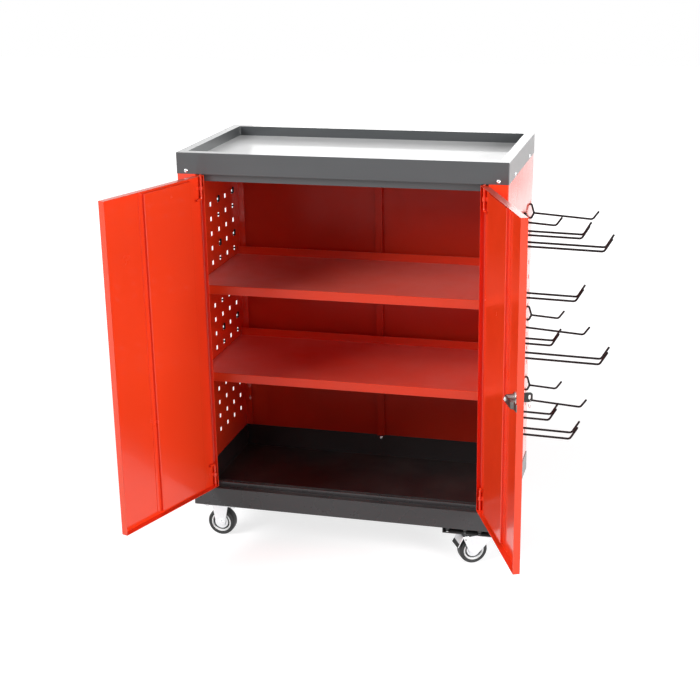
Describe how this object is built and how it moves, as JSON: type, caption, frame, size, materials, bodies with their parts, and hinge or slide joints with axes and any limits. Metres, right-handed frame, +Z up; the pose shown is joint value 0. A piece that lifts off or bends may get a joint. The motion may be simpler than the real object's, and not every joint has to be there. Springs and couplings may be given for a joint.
{
  "type": "mobile tool cabinet",
  "caption": "Upright sheet-metal tool cabinet with hinged doors, inner shelves, a recessed top tray, slotted sides with wire hooks, and a wheeled base.",
  "frame": {"origin": "on the floor, under the middle of the cabinet body", "axes": "+Z up, the doors face -Y, +X to the right of someone facing the doors"},
  "size_m": [0.9869, 0.6517, 0.889],
  "materials": {
    "grey_paint": "glossy powder coat",
    "black_paint": "satin powder coat",
    "red_paint": "glossy powder coat",
    "black_wire": "satin black coat",
    "tyre_rubber": "matte",
    "wheel_plastic": "moulded",
    "key_plastic": "moulded",
    "nickel": "nickel plated",
    "bright_steel": "bright",
    "zinc": "zinc plated"
  },
  "bodies": {
    "cabinet": {"back_seam_strip": "red_paint", "base_pan": "black_paint", "base_skirt": "black_paint", "caster_bolts": "zinc", "channel_bolts": "black_paint", "front_left_caster_axle": "zinc", "front_left_caster_fork": "zinc", "front_right_caster_kingpin": "zinc", "front_right_caster_plate": "zinc", "left_back_panel": "red_paint", "left_caster_channel": "black_paint", "left_hooks": "black_wire", "left_side_panel": "red_paint", "lower_shelf": "red_paint", "pan_screw": "zinc", "rear_left_caster_axle": "zinc", "rear_left_caster_fork": "zinc", "rear_right_caster_kingpin": "zinc", "rear_right_caster_plate": "zinc", "right_back_panel": "red_paint", "right_caster_channel": "black_paint", "right_hooks_bottom": "black_wire", "right_hooks_middle": "black_wire", "right_hooks_top": "black_wire", "right_side_panel": "red_paint", "shelf_clips": "zinc", "top_rail": "grey_paint", "top_tray": "grey_paint", "tray_screws": "zinc", "upper_shelf": "red_paint"},
    "left_door": {"left_door": "red_paint", "left_door_stiffener": "red_paint", "left_hinge_pins": "red_paint", "left_pin_guides": "red_paint"},
    "right_door": {"right_door": "red_paint", "right_door_stiffener": "red_paint", "right_hinge_pins": "red_paint", "right_pin_guides": "red_paint", "lock_barrel": "nickel", "lock_nut": "nickel"},
    "lock_plug": {"lock_plug": "nickel", "lock_cam": "zinc", "cam_screw": "zinc", "key": "key_plastic", "key_ring": "bright_steel"},
    "front_left_wheel": {"front_left_caster_tyre": "tyre_rubber", "front_left_caster_rim": "wheel_plastic"},
    "front_right_swivel": {"front_right_caster_fork": "zinc", "front_right_caster_axle": "zinc"},
    "front_right_wheel": {"front_right_caster_tyre": "tyre_rubber", "front_right_caster_rim": "wheel_plastic"},
    "front_right_brake": {"front_right_caster_brake": "zinc"},
    "rear_left_wheel": {"rear_left_caster_tyre": "tyre_rubber", "rear_left_caster_rim": "wheel_plastic"},
    "rear_right_swivel": {"rear_right_caster_fork": "zinc", "rear_right_caster_axle": "zinc"},
    "rear_right_wheel": {"rear_right_caster_tyre": "tyre_rubber", "rear_right_caster_rim": "wheel_plastic"},
    "rear_right_brake": {"rear_right_caster_brake": "zinc"}
  },
  "joints": [
    {"name": "left_door_hinge", "type": "hinge", "parent": "cabinet", "child": "left_door", "pos_m": [-0.3, -0.1785, 0.48875], "axis": [0, 0, 1], "range_deg": [-1, 109]},
    {"name": "right_door_hinge", "type": "hinge", "parent": "cabinet", "child": "right_door", "pos_m": [0.3, -0.1785, 0.48875], "axis": [0, 0, 1], "range_deg": [-113.5, 1]},
    {"name": "lock_turn", "type": "hinge", "parent": "right_door", "child": "lock_plug", "pos_m": [0.39889, -0.40593, 0.481], "axis": [-0.9171, -0.3987, 0], "range_deg": [0, 90]},
    {"name": "front_left_wheel_roll", "type": "hinge", "parent": "cabinet", "child": "front_left_wheel", "pos_m": [-0.303, -0.135, 0.0315], "axis": [0, 1, 0], "continuous": true},
    {"name": "front_right_swivel_turn", "type": "hinge", "parent": "cabinet", "child": "front_right_swivel", "pos_m": [0.303, -0.135, 0.066], "axis": [0, 0, 1], "continuous": true},
    {"name": "front_right_wheel_roll", "type": "hinge", "parent": "front_right_swivel", "child": "front_right_wheel", "pos_m": [0.27875, -0.149, 0.0315], "axis": [0.5, -0.866, 0], "continuous": true},
    {"name": "front_right_brake_press", "type": "hinge", "parent": "front_right_swivel", "child": "front_right_brake", "pos_m": [0.26143, -0.159, 0.062], "axis": [0.5, -0.866, 0], "range_deg": [0, 10]},
    {"name": "rear_left_wheel_roll", "type": "hinge", "parent": "cabinet", "child": "rear_left_wheel", "pos_m": [-0.303, 0.135, 0.0315], "axis": [0, 1, 0], "continuous": true},
    {"name": "rear_right_swivel_turn", "type": "hinge", "parent": "cabinet", "child": "rear_right_swivel", "pos_m": [0.303, 0.135, 0.066], "axis": [0, 0, 1], "continuous": true},
    {"name": "rear_right_wheel_roll", "type": "hinge", "parent": "rear_right_swivel", "child": "rear_right_wheel", "pos_m": [0.27875, 0.149, 0.0315], "axis": [-0.5, -0.866, 0], "continuous": true},
    {"name": "rear_right_brake_press", "type": "hinge", "parent": "rear_right_swivel", "child": "rear_right_brake", "pos_m": [0.26143, 0.159, 0.062], "axis": [-0.5, -0.866, 0], "range_deg": [0, 10]}
  ]
}
